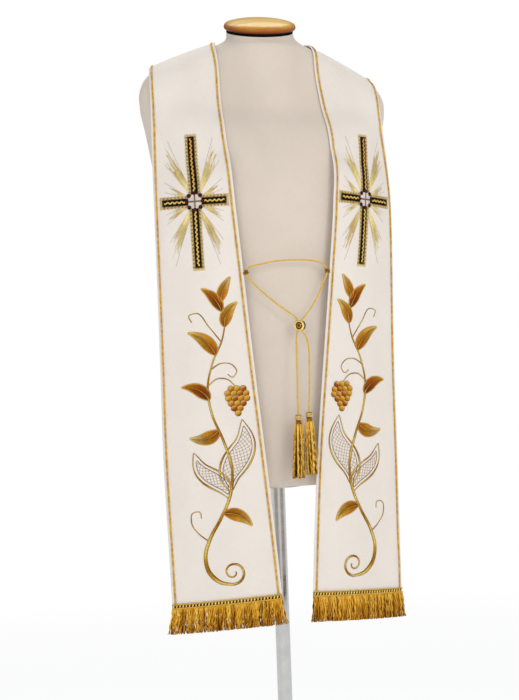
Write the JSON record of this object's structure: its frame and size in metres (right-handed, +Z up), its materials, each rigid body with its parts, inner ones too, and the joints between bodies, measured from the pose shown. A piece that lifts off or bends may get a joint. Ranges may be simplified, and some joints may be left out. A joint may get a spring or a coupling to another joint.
{
  "type": "clerical stole on dress form",
  "caption": "Shaped ivory clerical stole with gold edge cords, fringed ends, breast crosses and a tasselled tie cord, worn on a limbless dress form on a round stand.",
  "frame": {"origin": "middle of the round base's underside, on the floor", "axes": "+Z up along the pole, the front of the stole faces -Y, the wearer's right is -X"},
  "size_m": [0.44, 0.44, 1.6117],
  "materials": {
    "ivory_cloth": "smooth closely woven ivory cloth with a soft sheen",
    "gold_thread": "twisted metallic gold thread",
    "dark_thread": "raised satin stitch in near-black thread, edged in gold",
    "gilt_metal": "polished gilt brass",
    "form_jersey": "plain cream-pink cotton jersey",
    "dark_felt": "black felt",
    "beech": "honey-coloured lacquered beech",
    "steel": "satin steel tube"
  },
  "bodies": {
    "root": {"stole_right": "ivory_cloth", "stole_left": "ivory_cloth", "edge_cord_inner_right": "gold_thread", "edge_cord_inner_left": "gold_thread", "edge_cord_outer_right": "gold_thread", "edge_cord_outer_left": "gold_thread", "fringe_right": "gold_thread", "fringe_left": "gold_thread", "cross_right": "dark_thread", "cross_left": "dark_thread", "cord_ring_right": "gold_thread", "cord_ring_left": "gold_thread", "tie_loop": "gold_thread", "tie_tail_right": "gold_thread", "tie_tail_left": "gold_thread", "cord_slider": "gilt_metal", "tassel_right": "gold_thread", "tassel_left": "gold_thread", "form_torso": "form_jersey", "neck_rim": "dark_felt", "neck_cap": "beech", "form_pole": "steel", "form_base": "beech"}
  },
  "joints": []
}
